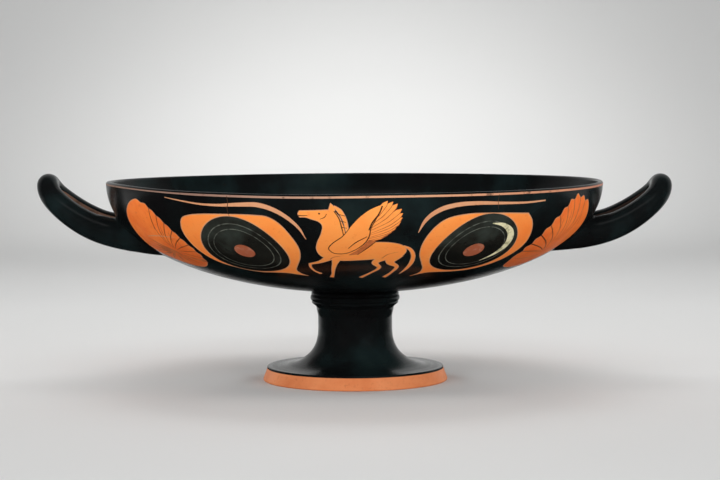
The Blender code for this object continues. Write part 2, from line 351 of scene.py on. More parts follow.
def between(before, start, end, after, count):
    """Points of a centripetal Catmull-Rom curve from start up to end, end left out."""
    knots = [0.0]
    for a, b in ((before, start), (start, end), (end, after)):
        knots.append(knots[-1] + max(np.linalg.norm(b - a), 1e-6) ** 0.5)
    t = np.linspace(knots[1], knots[2], count, endpoint=False)[:, None]

    def blend(a, b, first, last):
        return (a * (last - t) + b * (t - first)) / (last - first)

    a1 = blend(before, start, knots[0], knots[1])
    a2 = blend(start, end, knots[1], knots[2])
    a3 = blend(end, after, knots[2], knots[3])
    b1 = blend(a1, a2, knots[0], knots[2])
    b2 = blend(a2, a3, knots[1], knots[3])
    return blend(b1, b2, knots[1], knots[2])


def smooth(points, closed=False):
    """A smooth curve through a few points."""
    points = np.asarray(points, float) * CHART_SCALE
    if closed:
        padded = np.vstack([points[-1:], points, points[:2]])
    else:
        padded = np.vstack([2 * points[0] - points[1], points, 2 * points[-1] - points[-2]])
    curve = []
    for before, start, end, after in zip(padded, padded[1:], padded[2:], padded[3:]):
        count = max(ceil(np.linalg.norm(end - start) / CURVE_SPACING), 1)
        curve.append(between(before, start, end, after, count))
    if not closed:
        curve.append(points[-1:])
    return np.vstack(curve) / CHART_SCALE


def outline(*stretches):
    """A closed shape from smooth stretches that meet at corners."""
    curves = [smooth(stretch) for stretch in stretches]
    return np.vstack([curve[:-1] for curve in curves])


def degree_length(run):
    """Millimetres in one degree round the axis, at a distance from the rim."""
    return wall_radius(run) * pi / 180


def local_scale(points):
    """Millimetres in one unit of the chart at each of its points, across and down."""
    return np.stack([degree_length(points[:, 1]), np.ones(len(points))], 1)


def disc(centre, radius):
    """A compass circle on the wall."""
    count = max(ceil(2 * pi * radius / CURVE_SPACING), 10)
    angle = np.radians(np.linspace(0.0, 360.0, count, endpoint=False))
    run = centre[1] + radius * np.sin(angle)
    return np.stack([centre[0] + radius * np.cos(angle) / degree_length(run), run], 1)


def stroke(points, widths, round_end=False):
    """A brush stroke along a curve, its width given at each of the points."""
    points = np.asarray(points, float)
    middle = smooth(points)
    along = running_sum(np.linalg.norm(np.diff(middle * CHART_SCALE, axis=0), axis=1))
    nearest = [np.argmin(np.linalg.norm((middle - point) * CHART_SCALE, axis=1)) for point in points]
    width = np.interp(along, along[nearest], widths)
    local = local_scale(middle)
    tangent = unit(np.gradient(middle * CHART_SCALE, axis=0))
    normal = np.stack([-tangent[:, 1], tangent[:, 0]], 1)
    side = normal * width[:, None] / 2 / local
    shape = [middle + side, (middle - side)[::-1]]
    if round_end:
        turn = np.radians(np.arange(15, 180, 30))
        half = width[-1] / 2
        cap = [middle[-1] + (normal[-1] * cos(a) + tangent[-1] * sin(a)) * half / local[-1] for a in turn]
        shape.insert(1, np.array(cap))
    return np.vstack(shape)


def shifted(layers, azimuth):
    return [(material, shape + np.array([azimuth, 0.0])) for material, shape in layers]


# The painting

def inset(shape, width):
    """A closed shape drawn in by a width in millimetres."""
    local = local_scale(shape)
    after = np.roll(shape, -1, axis=0)
    tangent = (after - np.roll(shape, 1, axis=0)) * local
    tangent /= np.maximum(np.linalg.norm(tangent, axis=1), 1e-6)[:, None]
    turn = np.sign(np.sum(shape[:, 0] * after[:, 1] - after[:, 0] * shape[:, 1]))
    return shape + np.stack([-tangent[:, 1], tangent[:, 0]], 1) * turn * width / local


def edged(shape, material, width=0.6):
    """A reserved shape with a paler edge: a painted highlight along its outline."""
    return [(PALE_CLAY_AND_HIGHLIGHT, shape), (material, inset(shape, width))]


def eye_bands(centre, *radii):
    """The bands of an eye, from the outermost in: its pale line, a painted highlight round the iris, then
    thin gloss and two worn white lines.
    """
    colours = (PALE_CLAY_AND_HIGHLIGHT, IRIS, WORN, IRIS, WORN, IRIS)
    return [(colour, disc(centre, radius)) for colour, radius in zip(colours, radii)]


def left_eye():
    pupil = (-28.1, 43.2)
    shape = outline(
        [(-41.9, 20.0), (-40.9, 16.6), (-38.8, 14.6), (-35.4, 13.5), (-30, 13.1), (-22, 13.2), (-18.6, 14.3),
         (-16.2, 18.8), (-14, 29), (-13, 40), (-13.6, 50), (-15.3, 60), (-16.6, 68), (-16.0, 74),
         (-14.2, 78.5)],
        [(-14.2, 78.5), (-17.4, 76.3), (-20.5, 73.8), (-24.5, 73.4), (-28.5, 73.4), (-32, 71.8), (-36, 67.2),
         (-40, 60), (-41.7, 53), (-42.7, 43), (-42.9, 32), (-42.6, 25), (-41.9, 20.0)])
    bands = eye_bands(pupil, 29.2, 28.6, 23.8, 23.1, 19.7, 19.1)
    return edged(shape, CLAY) + bands + [(RED, disc((-27.7, 43.8), 6.7))]


def right_eye():
    pupil = (31.0, 42.5)
    shape = outline(
        [(41.2, 14.4), (43.3, 20), (45.4, 31), (46.3, 42), (45.6, 52), (44, 60), (41, 67), (37, 72),
         (31.5, 74), (26, 74), (22, 74.5), (17.6, 80.5)],
        [(17.6, 80.5), (19.6, 74), (19.5, 67), (17.8, 57), (16.2, 47), (15.8, 38), (16.4, 29), (18, 21),
         (20.3, 16), (25, 13.3), (33, 13.4), (41.2, 14.4)])
    crescent = stroke(
        [(31.8, 20.6), (34.8, 22.0), (37.6, 26.8), (39.2, 34), (39.5, 42), (38.4, 50), (35.8, 58)],
        [0.5, 2.6, 4.2, 4.8, 4.4, 3.0, 0.6])
    bands = eye_bands(pupil, 29.3, 28.8, 23.9, 23.2, 19.7, 19.1)
    return edged(shape, CLAY) + bands + [(CREAM, crescent), (RED, disc((30.6, 44.2), 6.9))]


def brows():
    left = stroke(
        [(-45, 3.9), (-40, 5.6), (-35, 7.2), (-30, 7.6), (-25, 7.0), (-20.5, 7.0), (-17, 10), (-14.2, 15),
         (-12.0, 22), (-10.8, 31)],
        [0.4, 0.8, 1.1, 1.6, 2.4, 2.9, 2.8, 2.5, 1.8, 0.3])
    right = stroke(
        [(45.8, 6.9), (40, 7.6), (33, 7.3), (27, 6.8), (22.5, 7.4), (19, 9.6), (16.6, 13.4), (15.2, 18),
         (14.2, 26)],
        [0.9, 1.2, 1.7, 2.3, 2.7, 2.9, 2.8, 2.2, 0.4])
    return [(PALE_CLAY_AND_HIGHLIGHT, left), (PALE_CLAY_AND_HIGHLIGHT, right)]


def cracks():
    """Two hairline cracks across the brows, a chip, and gloss that narrows the rim's line on the left."""
    left = stroke([(-27.7, 1.7), (-27.5, 6), (-27.8, 10), (-27.5, 16)], [0.4, 0.5, 0.5, 0.3])
    right = stroke([(32.2, 1.7), (32.0, 6), (32.3, 11)], [0.3, 0.4, 0.3])
    chip = disc((-14.8, 2.2), 0.5)
    along_rim = [(-88.5, 2.6), (-80, 2.6), (-60, 2.6), (-40, 2.7), (-28, 2.9)]
    along_rim = [(azimuth, run - float(rim_rise(azimuth))) for azimuth, run in along_rim]
    rim_left = stroke(along_rim, [1.1, 1.1, 1.1, 0.9, 0.3])
    return [(LINE, left), (LINE, right), (LINE, chip), (GLOSS, rim_left)]


def notched(tips, heart, depth):
    """An edge that runs over the tips of fronds, with a notch towards the heart after each but the last.
    Gives the edge's points and the notches."""
    heart = np.array(heart, float) * CHART_SCALE
    tips = np.array(tips, float) * CHART_SCALE
    edge = []
    notches = []
    for here, after in zip(tips, tips[1:]):
        middle = (here + after) / 2
        inward = heart - middle
        notch = middle + inward / np.linalg.norm(inward) * depth
        edge += [here, notch]
        notches.append(notch / CHART_SCALE)
    edge.append(tips[-1])
    return (np.array(edge) / CHART_SCALE).tolist(), notches


def frond_line(notch, heart, bend, width, reach):
    """A thin line from a notch between two fronds towards the heart."""
    notch = np.array(notch, float)
    heart = np.array(heart, float)
    end = notch + (heart - notch) * reach
    middle = (notch + end) / 2 + np.array([bend, 0.0])
    return stroke([notch, middle, end], [width, width * 0.9, width * 0.4])


def right_palmette():
    heart = (62.0, 53.0)
    tips = [
        (65.0, 8.6), (62.0, 5.6), (58.7, 4.0), (55.9, 7.4), (53.8, 12.9), (51.7, 19.8), (50.2, 28.0),
        (49.2, 36.8), (48.4, 45.2), (48.4, 54.0)]
    edge, notches = notched(tips, heart, 1.9)
    rest = [
        (49.4, 63.0), (51.4, 71.0), (56.5, 75.5), (62.2, 76.0), (67.2, 73.4), (69.8, 67.0), (70.6, 58.0),
        (70.8, 48.0), (71.0, 38.0), (70.8, 30.0), (69.6, 22.0), (67.6, 15.0)]
    fan = smooth(edge + rest, closed=True)
    strong = [(LINE, frond_line(notch, heart, 0.9, 0.8, 0.88)) for notch in notches[6:]]
    strong.append((LINE, frond_line(notches[5], heart, 0.9, 0.6, 0.84)))
    faint = [(DILUTE, frond_line(notch, heart, 0.7, 0.9, 0.72)) for notch in notches[:5]]
    streaks = [(DILUTE, stroke([(tip[0] + 1.6, tip[1] + 7), (tip[0] + 3.6, tip[1] + 21)], [0.3, 0.6]))
               for tip in tips[1:6]]
    base = [(DILUTE, stroke([(49.5, 58.5), (53.5, 60.6), (59.0, 60.0), (64.0, 57.0)], [0.4, 0.9, 0.9, 0.4]))]
    return edged(fan, PALMETTE, 0.4) + faint + streaks + strong + base


def left_palmette():
    heart = (-53.4, 48.5)
    tips = [
        (-56.2, 6.0), (-52.8, 8.6), (-50.6, 13.0), (-48.6, 18.2), (-47.0, 23.8), (-45.7, 29.8), (-44.7, 36.2),
        (-44.0, 43.6), (-43.9, 51.4), (-45.2, 59.6)]
    edge, notches = notched(tips, heart, 0.7)
    rest = [
        (-48.4, 67.0), (-53.4, 71.4), (-59.0, 69.0), (-64.0, 62.0), (-67.8, 54.0), (-68.4, 46.0),
        (-67.2, 38.0), (-66.0, 29.0), (-64.8, 20.0), (-63.0, 13.8), (-60.6, 9.2), (-58.4, 6.8)]
    fan = smooth(edge + rest, closed=True)
    # The fan's lower part is darkened with painted shade: dilute strokes from the heart and a wash beside it.
    low_tips = [
        (-60.4, 36.4), (-62.6, 40.0), (-64.4, 44.4), (-65.0, 49.4), (-64.2, 54.6), (-62.0, 59.6),
        (-58.6, 64.0), (-54.4, 66.6), (-50.4, 65.6)]
    painted_shade_fronds = []
    for tip in low_tips:
        middle = ((tip[0] + heart[0]) / 2 - 0.4, (tip[1] + heart[1]) / 2 + 0.6)
        painted_shade_fronds.append((DILUTE, stroke([tip, middle, heart], [0.5, 2.3, 0.7])))
    painted_shade_wash = stroke([(-45.4, 60.0), (-48.4, 58.4), (-52.0, 53.0)], [4.6, 3.4, 0.8])
    bar = stroke([(-60.4, 34.6), (-56.8, 33.4), (-52.0, 33.0), (-47.4, 33.4)], [0.3, 0.7, 0.8, 0.4])
    lines = [(LINE, frond_line(notch, heart, -0.5, 0.55, 0.86)) for notch in notches[1:]]
    faint = [(DILUTE, stroke([(tip[0] - 1.4, tip[1] + 5), (tip[0] - 2.6, tip[1] + 14)], [0.3, 0.6]))
             for tip in tips[2:6]]
    return edged(fan, PALMETTE, 0.4) + painted_shade_fronds + [(DILUTE, painted_shade_wash), (PALE_CLAY_AND_HIGHLIGHT, bar)] + faint + lines


def feather(root, tip, width):
    root = np.array(root, float)
    tip = np.array(tip, float)
    middle = root + (tip - root) * 0.6 + np.array([0.12, 0.8])
    near_tip = root + (tip - root) * 0.9 + np.array([0.05, 0.2])
    return stroke([root, middle, near_tip, tip], [width * 0.8, width, width * 0.72, 0.3])


def winged_horse():
    body = outline(
        [(-5.4, 9.4), (-7.6, 9.7), (-10.0, 9.9), (-11.5, 10.0)],
        [(-11.5, 10.0), (-11.9, 12.2), (-11.5, 14.6)],
        [(-11.5, 14.6), (-10.3, 14.6), (-9.0, 15.9), (-7.6, 17.4), (-6.9, 20.0), (-7.3, 26), (-8.4, 33),
         (-9.0, 40), (-8.4, 47), (-6.2, 52.2), (-2.5, 53.4), (3.0, 52.4), (7.4, 51.2), (9.6, 53.5),
         (11.8, 49.0), (12.6, 42.0), (11.2, 36.4), (7.8, 33.6), (3.4, 33.4), (-0.6, 34.0), (-1.9, 28.0),
         (-2.3, 20.5), (-3.2, 13.2), (-5.4, 9.4)])
    ear = outline(
        [(-5.4, 9.9), (-4.9, 5.4)], [(-4.9, 5.4), (-4.0, 7.8), (-3.9, 10.6)], [(-3.9, 10.6), (-5.4, 9.9)])
    mane = stroke(
        [(-4.2, 7.4), (-3.0, 10.4), (-2.0, 16), (-1.6, 22), (-1.5, 28.5)], [1.4, 3.0, 2.8, 2.4, 0.8])
    mane_line = stroke([(-4.2, 10.4), (-3.2, 15), (-2.7, 21), (-2.3, 27.5)], [0.5, 0.7, 0.7, 0.5])
    locks = [
        stroke([(-3.3 + step * 0.3, 12.4 + step * 4.4), (-1.9 + step * 0.18, 13.6 + step * 4.2)], [0.5, 0.35])
        for step in range(3)]
    cheek = stroke([(-7.2, 15.6), (-6.2, 14.4), (-5.7, 12.2)], [0.3, 0.5, 0.3])
    eye_dot = disc((-7.3, 12.0), 0.6)
    mouth = stroke([(-11.9, 13.2), (-10.7, 13.4), (-9.8, 13.2)], [0.6, 0.5, 0.3])
    tail = stroke(
        [(11.4, 37.4), (13.2, 40.4), (14.6, 47), (15.1, 56), (14.7, 66), (13.6, 75)],
        [1.8, 2.4, 2.8, 3.0, 2.4, 0.6])
    raised_leg = stroke(
        [(-6.2, 49.5), (-8.8, 54.8), (-11.6, 57.6)], [6.0, 3.2, 2.1])
    raised_shin = stroke(
        [(-11.6, 56.8), (-12.0, 62), (-11.4, 69), (-10.2, 73)], [2.1, 1.7, 1.6, 2.4], round_end=True)
    standing_leg = stroke(
        [(-4.4, 50), (-5.2, 58), (-5.9, 66), (-6.4, 74), (-7.2, 81)], [6.0, 3.4, 2.4, 1.9, 2.8])
    back_leg = stroke(
        [(10.0, 47), (9.4, 56), (11.6, 62.5), (11.0, 71), (9.4, 81.5)], [11.0, 5.4, 2.8, 2.0, 2.8])
    forward_leg = stroke(
        [(8.0, 48), (5.4, 56), (6.8, 63.5), (4.8, 72), (1.9, 81.5)], [8.0, 4.4, 2.6, 1.9, 2.8])
    parts = [tail, raised_shin, raised_leg, standing_leg, forward_leg, back_leg, body, ear, mane]
    # Each part has a pale edge, a painted highlight along its outline, round the clay drawn in from it.
    layers = [(PALE_CLAY_AND_HIGHLIGHT, part) for part in parts]
    layers += [(CLAY, inset(part, 0.45)) for part in parts]
    neck_join = stroke([(-4.0, 11.5), (-2.6, 21), (-2.2, 27.0)], [1.6, 2.2, 1.6])
    layers += [(CLAY, disc((-4.7, 10.9), 1.9)), (CLAY, neck_join)]
    layers += [(LINE, part) for part in [mane_line, cheek, eye_dot, mouth] + locks]
    layers += [
        (DILUTE, stroke([(6.9, 50.6), (8.2, 46), (10.6, 43.4)], [0.5, 0.6, 0.3])),
        (DILUTE, stroke([(-6.2, 51.8), (-5.2, 49), (-3.4, 47.6)], [0.5, 0.6, 0.3]))]
    return layers + wing()


def wing():
    """A raised wing: a plain shoulder, a band across it, and long feathers that fan up and back."""
    roots = smooth([(1.0, 21.8), (2.2, 24.0), (2.8, 27.4), (2.2, 32.0)])
    tips = smooth([(7.0, 4.4), (8.8, 5.6), (10.0, 9.4), (10.3, 14.0), (9.6, 19.4), (7.6, 25.4)])
    count = 10
    root_at = [roots[round(share * (len(roots) - 1))] for share in np.linspace(0, 1, count)]
    tip_at = [tips[round(share * (len(tips) - 1))] for share in np.linspace(0, 1, count)]
    layers = []
    for root, tip in list(zip(root_at, tip_at))[::-1]:
        layers.append((DILUTE, feather(root, tip, 4.6)))
        layers.append((CLAY, feather(root, tip + np.array([-0.06, 0.05]), 3.7)))
    shoulder_edge = [
        (6.0, 6.4), (3.4, 9.6), (1.0, 15.0), (-0.9, 21.6), (-2.6, 28.4), (-5.0, 34.6), (-6.0, 39.6),
        (-4.9, 44.2), (-2.2, 44.6), (0.4, 40.4), (2.6, 33.4), (3.4, 27.6), (3.6, 22.6), (4.6, 16.0),
        (5.6, 10.4)]
    shoulder = outline(shoulder_edge + shoulder_edge[:1])
    border = stroke(shoulder_edge[3:], [0.3] + [0.65] * 9 + [0.5, 0.4])
    cross = stroke([(5.9, 7.4), (5.2, 12.5), (3.9, 18.0), (3.2, 23.6)], [0.9, 0.9, 0.9, 0.7])
    under = outline(
        [(3.4, 31.0), (5.0, 32.6), (3.2, 38.6), (0.8, 46.0)],
        [(0.8, 46.0), (-1.4, 46.6), (0.6, 41.0), (3.4, 31.0)])
    bands = [
        stroke([(2.9, 28.6), (0.4, 33.6), (-1.4, 39.4)], [0.5, 0.8, 0.4]),
        stroke([(5.0, 32.6), (3.2, 38.6), (0.8, 46.0)], [0.5, 0.7, 0.4])]
    layers += [(CLAY, shoulder), (DILUTE, inset(under, 0.2)), (LINE, border), (LINE, cross)]
    return layers + [(LINE, band) for band in bands]


def upright_palmette():
    """The plain ornament in the middle of the back: seven fronds over two small scrolls."""
    heart = np.array([0.0, 52.0])
    layers = []
    for angle in (-78, -52, -26, 26, 52, 78, 0):
        reach = 34.0 - abs(angle) * 0.13
        out = np.array([sin(radians(angle)) / CHART_MM_PER_DEGREE, -cos(radians(angle))])
        frond = [heart + out * 6, heart + out * reach * 0.6, heart + out * reach]
        layers.append((PALMETTE, stroke(frond, [2.2, 6.6, 7.4], round_end=True)))
    for side in (-1, 1):
        scroll = stroke(
            [(0.4 * side, 70), (4.2 * side, 66), (7.6 * side, 60), (9.6 * side, 64), (8.2 * side, 69),
             (6.2 * side, 66)], [1.2, 2.2, 2.4, 2.2, 1.8, 0.6])
        layers.append((PALMETTE, scroll))
    layers += [(PALMETTE, disc(heart, 5.2)), (LINE, disc(heart, 3.2)), (PALMETTE, disc(heart, 2.4))]
    return layers


def handle_streak(side):
    """The dull streak of bare clay, darkened with painted shade, that runs down the wall in front of a
    handle's arch.
    """
    points = [(83.0, 4.5), (82.6, 8.0), (81.4, 12.0), (79.4, 15.5)]
    streak = stroke([(azimuth * side, run) for azimuth, run in points], [2.0, 8.0, 7.0, 1.0])
    return [(SHADED_HANDLE_CLAY, streak)]


def painting():
    eyes = left_eye() + right_eye() + brows() + left_palmette() + right_palmette()
    streaks = handle_streak(1) + handle_streak(-1)
    layers = eyes + winged_horse() + cracks() + streaks
    layers += shifted(eyes + streaks + upright_palmette(), 180)
    wrapped = []
    for material, shape in layers:
        up = RIM_HEIGHT - wall_drop(shape[:, 1])
        level = shape[:, 1] + rim_rise(shape[:, 0]) * rim_share(up)
        level = np.maximum(level, ZONE_START + 0.1)
        turns = np.floor((shape[:, 0].mean() - SEAM_AZIMUTH) / 360)
        wrapped.append((material, np.stack([shape[:, 0] - 360 * turns, level], 1)))
    return wrapped


# Mesh building

class Surface:
    """Collects vertices with their normals and faces with their materials."""

    def __init__(self):
        self.places = []
        self.normals = []
        self.count = 0
        self.faces = []
        self.materials = []

    def add(self, places, normals):
        """Adds vertices and gives their numbers."""
        places = np.asarray(places, float).reshape(-1, 3)
        self.places.append(places)
        self.normals.append(np.asarray(normals, float).reshape(-1, 3))
        numbers = np.arange(self.count, self.count + len(places))
        self.count += len(places)
        return numbers

    def add_faces(self, faces, materials):
        self.faces.extend(faces)
        self.materials.extend(materials)

    def strip(self, upper, lower, materials, mirrored=False):
        """Quads between two rings of as many vertices, the upper one first when seen from outside."""
        faces = np.stack([upper, lower, np.roll(lower, -1), np.roll(upper, -1)], 1)
        if mirrored:
            faces = faces[:, [0, 3, 2, 1]]
        self.add_faces(faces.tolist(), materials)

    def halving_strip(self, upper, lower, material):
        """Joins a ring to one with half its vertices, below it."""
        count = len(lower)
        for index in range(count):
            a, b, c = upper[2 * index], upper[2 * index + 1], upper[(2 * index + 2) % len(upper)]
            d, e = lower[index], lower[(index + 1) % count]
            self.add_faces([[int(a), int(d), int(b)], [int(b), int(d), int(e)], [int(b), int(e), int(c)]],
                           [material] * 3)

    def fan(self, ring, tip, material, tip_first):
        after = np.roll(ring, -1)
        for here, there in zip(ring.tolist(), after.tolist()):
            face = [tip, here, there] if tip_first else [here, tip, there]
            self.add_faces([face], [material])


def profile_normals(points):
    """Normals of a turned profile, which runs down its outer side, as (radial, upward) parts."""
    step = np.diff(points, axis=0)
    side = np.stack([-step[:, 1], step[:, 0]], 1)
    return unit(np.vstack([side[:1], side[:-1] + side[1:], side[-1:]]))


def add_ring(surface, out, up, normal, columns):
    azimuth = SEAM_AZIMUTH + 360.0 * np.arange(columns) / columns
    return surface.add(round_axis(out, azimuth, up), round_axis(normal[0], azimuth, normal[1]))


def add_turned(surface, profile, columns, material_at, first_ring=None, last_ring=None):
    """Rings along a profile. material_at is one material, or gives a band's from its middle as (out, up).
    The first and last rings may be ones that the surface has already."""
    normals = profile_normals(profile)
    rings = []
    for index, (out, up) in enumerate(profile):
        if index == 0 and first_ring is not None:
            rings.append(first_ring)
        elif index == len(profile) - 1 and last_ring is not None:
            rings.append(last_ring)
        elif out < 1e-9:
            rings.append(surface.add([(0.0, 0.0, up)], [(0.0, 0.0, np.sign(normals[index][1]))]))
        else:
            rings.append(add_ring(surface, out, up, normals[index], columns))
    for index in range(len(profile) - 1):
        middle = (profile[index] + profile[index + 1]) / 2
        material = material_at(*middle) if callable(material_at) else material_at
        upper, lower = rings[index], rings[index + 1]
        if len(upper) == 1:
            surface.fan(lower, int(upper[0]), material, True)
        elif len(lower) == 1:
            surface.fan(upper, int(lower[0]), material, False)
        elif len(upper) == 2 * len(lower):
            surface.halving_strip(upper, lower, material)
        else:
            surface.strip(upper, lower, [material] * columns)
    return rings


def inside(polygon, points):
    """Which points lie in a closed polygon, by counting its edges to their right."""
    result = np.zeros(len(points), bool)
    low, high = polygon.min(0), polygon.max(0)
    near = np.nonzero(np.all((points >= low) & (points <= high), axis=1))[0]
    if len(near) == 0:
        return result
    x, y = points[near, 0][:, None], points[near, 1][:, None]
    start = polygon
    end = np.roll(polygon, -1, axis=0)
    spans = (start[:, 1] > y) != (end[:, 1] > y)
    rise = np.where(end[:, 1] == start[:, 1], 1.0, end[:, 1] - start[:, 1])
    cross = start[:, 0] + (y - start[:, 1]) * (end[:, 0] - start[:, 0]) / rise
    result[near] = (np.sum(spans & (x < cross), axis=1) % 2) == 1
    return result


def wall_rows():
    count = ceil((ZONE_END - RIM_LINE_END) / WALL_ROW_PITCH)
    return np.concatenate([[ZONE_START], np.linspace(RIM_LINE_END, ZONE_END, count + 1)])


def cut_chart(rows, columns, shapes):
    """The zone's chart in triangles, with every shape's outline and the two rows at the rim kept as edges.
    Gives the chart's points, the triangles, the new number of each point that went in, and the numbers
    that each shape's points had then."""
    points = [np.array([(azimuth, run) for run in rows for azimuth in columns])]
    edges = []
    for first in (0, len(columns)):
        edges += [(first + index, first + index + 1) for index in range(BOWL_COLUMNS)]
    count = len(points[0])
    shape_numbers = []
    for shape in shapes:
        numbers = list(range(count, count + len(shape)))
        edges += list(zip(numbers, numbers[1:] + numbers[:1]))
        points.append(shape)
        count += len(shape)
        shape_numbers.append(numbers)
    flat = [Vector(point) for point in (np.vstack(points) * CHART_SCALE).tolist()]
    made, _, triangles, origins, _, _ = delaunay_2d_cdt(flat, edges, [], 0, 1e-4, True)
    chart = np.array([tuple(point) for point in made]) / CHART_SCALE
    made_from = {}
    for number, sources in enumerate(origins):
        for source in sources:
            made_from[source] = number
    return chart, np.array([list(triangle) for triangle in triangles]), made_from, shape_numbers


def add_painted_wall(surface, holes):
    """The outer wall's painted zone, cut so that every painted outline is a chain of edges.
    Gives the vertex rings of its top, its end and each hole."""
    rows = wall_rows()
    columns = SEAM_AZIMUTH + np.arange(BOWL_COLUMNS + 1) * 360.0 / BOWL_COLUMNS
    layers = painting()
    shapes = holes + [shape for _, shape in layers]
    chart, triangles, made_from, shape_numbers = cut_chart(rows, columns, shapes)
    places, normals = wall_point(chart[:, 0], chart[:, 1])
    numbers = surface.add(places, normals)
    used = np.arange(len(chart))
    for row in range(len(rows)):
        first = row * len(columns)
        used[made_from[first + BOWL_COLUMNS]] = made_from[first]
    triangles = used[triangles]

    centres = chart[triangles].mean(1)
    azimuths = chart[triangles][:, :, 0]
    wide = np.ptp(azimuths, axis=1) > 180
    azimuths = np.where(wide[:, None] & (azimuths < SEAM_AZIMUTH + 180), azimuths + 360, azimuths)
    centres[:, 0] = azimuths.mean(1)
    keep = np.ones(len(triangles), bool)
    for hole in holes:
        keep &= ~inside(hole, centres)
    triangles, centres = triangles[keep], centres[keep]
    material = np.where(centres[:, 1] < RIM_LINE_END, RIM_CLAY, GLOSS)
    for colour, shape in layers:
        material[inside(shape, centres)] = colour
    a, b, c = (places[triangles[:, k]] for k in range(3))
    outward = np.einsum("ij,ij->i", np.cross(b - a, c - a), normals[triangles].sum(1)) > 0
    if outward.mean() < 0.5:
        triangles = triangles[:, ::-1]
    surface.add_faces(numbers[triangles].tolist(), material.tolist())

    def grid_ring(row):
        start = row * len(columns)
        return np.array([numbers[used[made_from[start + k]]] for k in range(BOWL_COLUMNS)])

    rims = [np.array([numbers[made_from[n]] for n in shape_numbers[k]]) for k in range(len(holes))]
    return grid_ring(0), grid_ring(len(rows) - 1), rims


# Handles

def handle_line(rise, fullest):
    """The rod's middle line on the right side, its slopes and radii, and how much it swells towards its
    roots above and below, all at even steps."""
    root_out = float(np.interp(HANDLE_ROOT_DROP, WALL_DROP, WALL_RADIUS))
    root_x = sqrt(root_out ** 2 - HANDLE_HALF_WIDTH ** 2)
    root_z = RIM_HEIGHT - HANDLE_ROOT_DROP
    length = RIM_RADIUS + HANDLE_REACH - ROD_TIP_RADIUS - root_x
    turn = np.linspace(0.0, pi / 2, LINE_STEPS)
    out = np.sin(turn) ** (2 / HANDLE_PLAN_POWER)
    across = HANDLE_HALF_WIDTH * np.maximum(np.cos(turn), 0.0) ** (2 / HANDLE_PLAN_POWER)
    across += HANDLE_ROOT_SPLAY * np.maximum(1 - length * out / HANDLE_SPLAY_LENGTH, 0.0) ** 2
    up = (1 - HANDLE_HOOK_SHARE) * out ** HANDLE_RISE_POWER + HANDLE_HOOK_SHARE * out ** HANDLE_HOOK_POWER
    slope = rise / length * (
        (1 - HANDLE_HOOK_SHARE) * HANDLE_RISE_POWER * out ** (HANDLE_RISE_POWER - 1)
        + HANDLE_HOOK_SHARE * HANDLE_HOOK_POWER * out ** (HANDLE_HOOK_POWER - 1))
    half = np.stack([root_x + length * out, across, root_z + rise * up, slope], 1)
    inmost = (root_x - ROOT_RUN_IN, half[0][1] + HANDLE_ROOT_SPLAY, root_z, 0.0)
    run_in = np.linspace(inmost, half[0], RUN_IN_STEPS)
    half = np.vstack([run_in[:-1], half])
    whole = np.vstack([half, half[-2::-1] * (1, -1, 1, 1)])
    along = running_sum(np.linalg.norm(np.diff(whole[:, :3], axis=0), axis=1))
    wanted = np.linspace(0.0, along[-1], EVEN_STEPS)
    even = np.stack([np.interp(wanted, along, whole[:, k]) for k in range(4)], 1)
    from_wall = np.minimum(wanted, along[-1] - wanted) - ROOT_RUN_IN
    to_tip = along[-1] / 2 - ROOT_RUN_IN
    share = np.clip(from_wall / to_tip, 0.0, 1.0)
    swell = ROOT_SWELL * np.minimum(np.exp(-from_wall / ROOT_SWELL_LENGTH), ROOT_SWELL_LIMIT)
    low_swell = fullest / (1 + np.exp((from_wall + LOW_SWELL_START) / LOW_SWELL_LENGTH))
    radius = ROD_ROOT_RADIUS + (ROD_TIP_RADIUS - ROD_ROOT_RADIUS) * share
    return even[:, :3], even[:, 3], radius, swell, low_swell


def outside_wall(places):
    """How far places are outside the outer wall, measured level."""
    drop = np.clip(RIM_HEIGHT - places[..., 2], 0.0, BOWL_DEPTH)
    return np.hypot(places[..., 0], places[..., 1]) - np.interp(drop, WALL_DROP, WALL_RADIUS)


def handle_rods(side, rise, fullest):
    """Lines along the rod's skin: an array of (step, side of the rod, xyz), and each line's end steps."""
    middle, slope, radius, swell, low_swell = handle_line(rise, fullest)
    tangent = unit(np.gradient(middle, axis=0))
    above = unit(np.stack([-slope, np.zeros(len(slope)), np.ones(len(slope))], 1))
    inward = unit(np.cross(tangent, above))
    above = np.cross(inward, tangent)
    angle = 2 * pi * np.arange(ROD_SIDES) / ROD_SIDES
    ring = np.cos(angle)[None, :, None] * inward[:, None] + np.sin(angle)[None, :, None] * above[:, None]
    above_share = fillet_share()
    swollen = radius[:, None] + swell[:, None] * above_share + low_swell[:, None] * (1 - above_share)
    skin = middle[:, None] + ring * swollen[..., None]
    skin[..., 0] *= side
    ring[..., 0] *= side
    clear = outside_wall(skin)
    half = len(skin) // 2
    step_length = np.linalg.norm(middle[half + 1] - middle[half])
    first = [crossing(clear[:half, k]) for k in range(ROD_SIDES)]
    last = [len(skin) - 1 - crossing(clear[:half - 1:-1, k]) for k in range(ROD_SIDES)]
    return skin, ring, np.array(first), np.array(last), step_length


def crossing(clear):
    """The place, in steps, where a line along the rod's skin last comes out of the wall."""
    last_inside = np.nonzero(clear < 0)[0][-1]
    a, b = clear[last_inside], clear[last_inside + 1]
    return last_inside + a / (a - b)


def at_steps(lines, steps):
    """Places on each line at fractional steps, one step for each line."""
    low = np.clip(np.floor(steps).astype(int), 0, len(lines) - 2)
    part = (steps - low)[:, None]
    number = np.arange(lines.shape[1])
    return lines[low, number] * (1 - part) + lines[low + 1, number] * part


def fillet_share():
    """How full the fillet is at each side of the rod: 0 underneath and 1 above."""
    return 0.5 + 0.5 * np.sin(2 * pi * np.arange(ROD_SIDES) / ROD_SIDES)


def fillet_reach():
    return FILLET_BELOW + (FILLET_ABOVE - FILLET_BELOW) * fillet_share()


def chart_place(places):
    """The azimuth of places, and how far from the rim the wall is that is level with them."""
    return azimuth_of(places), np.interp(RIM_HEIGHT - places[:, 2], WALL_DROP, WALL_RUN)


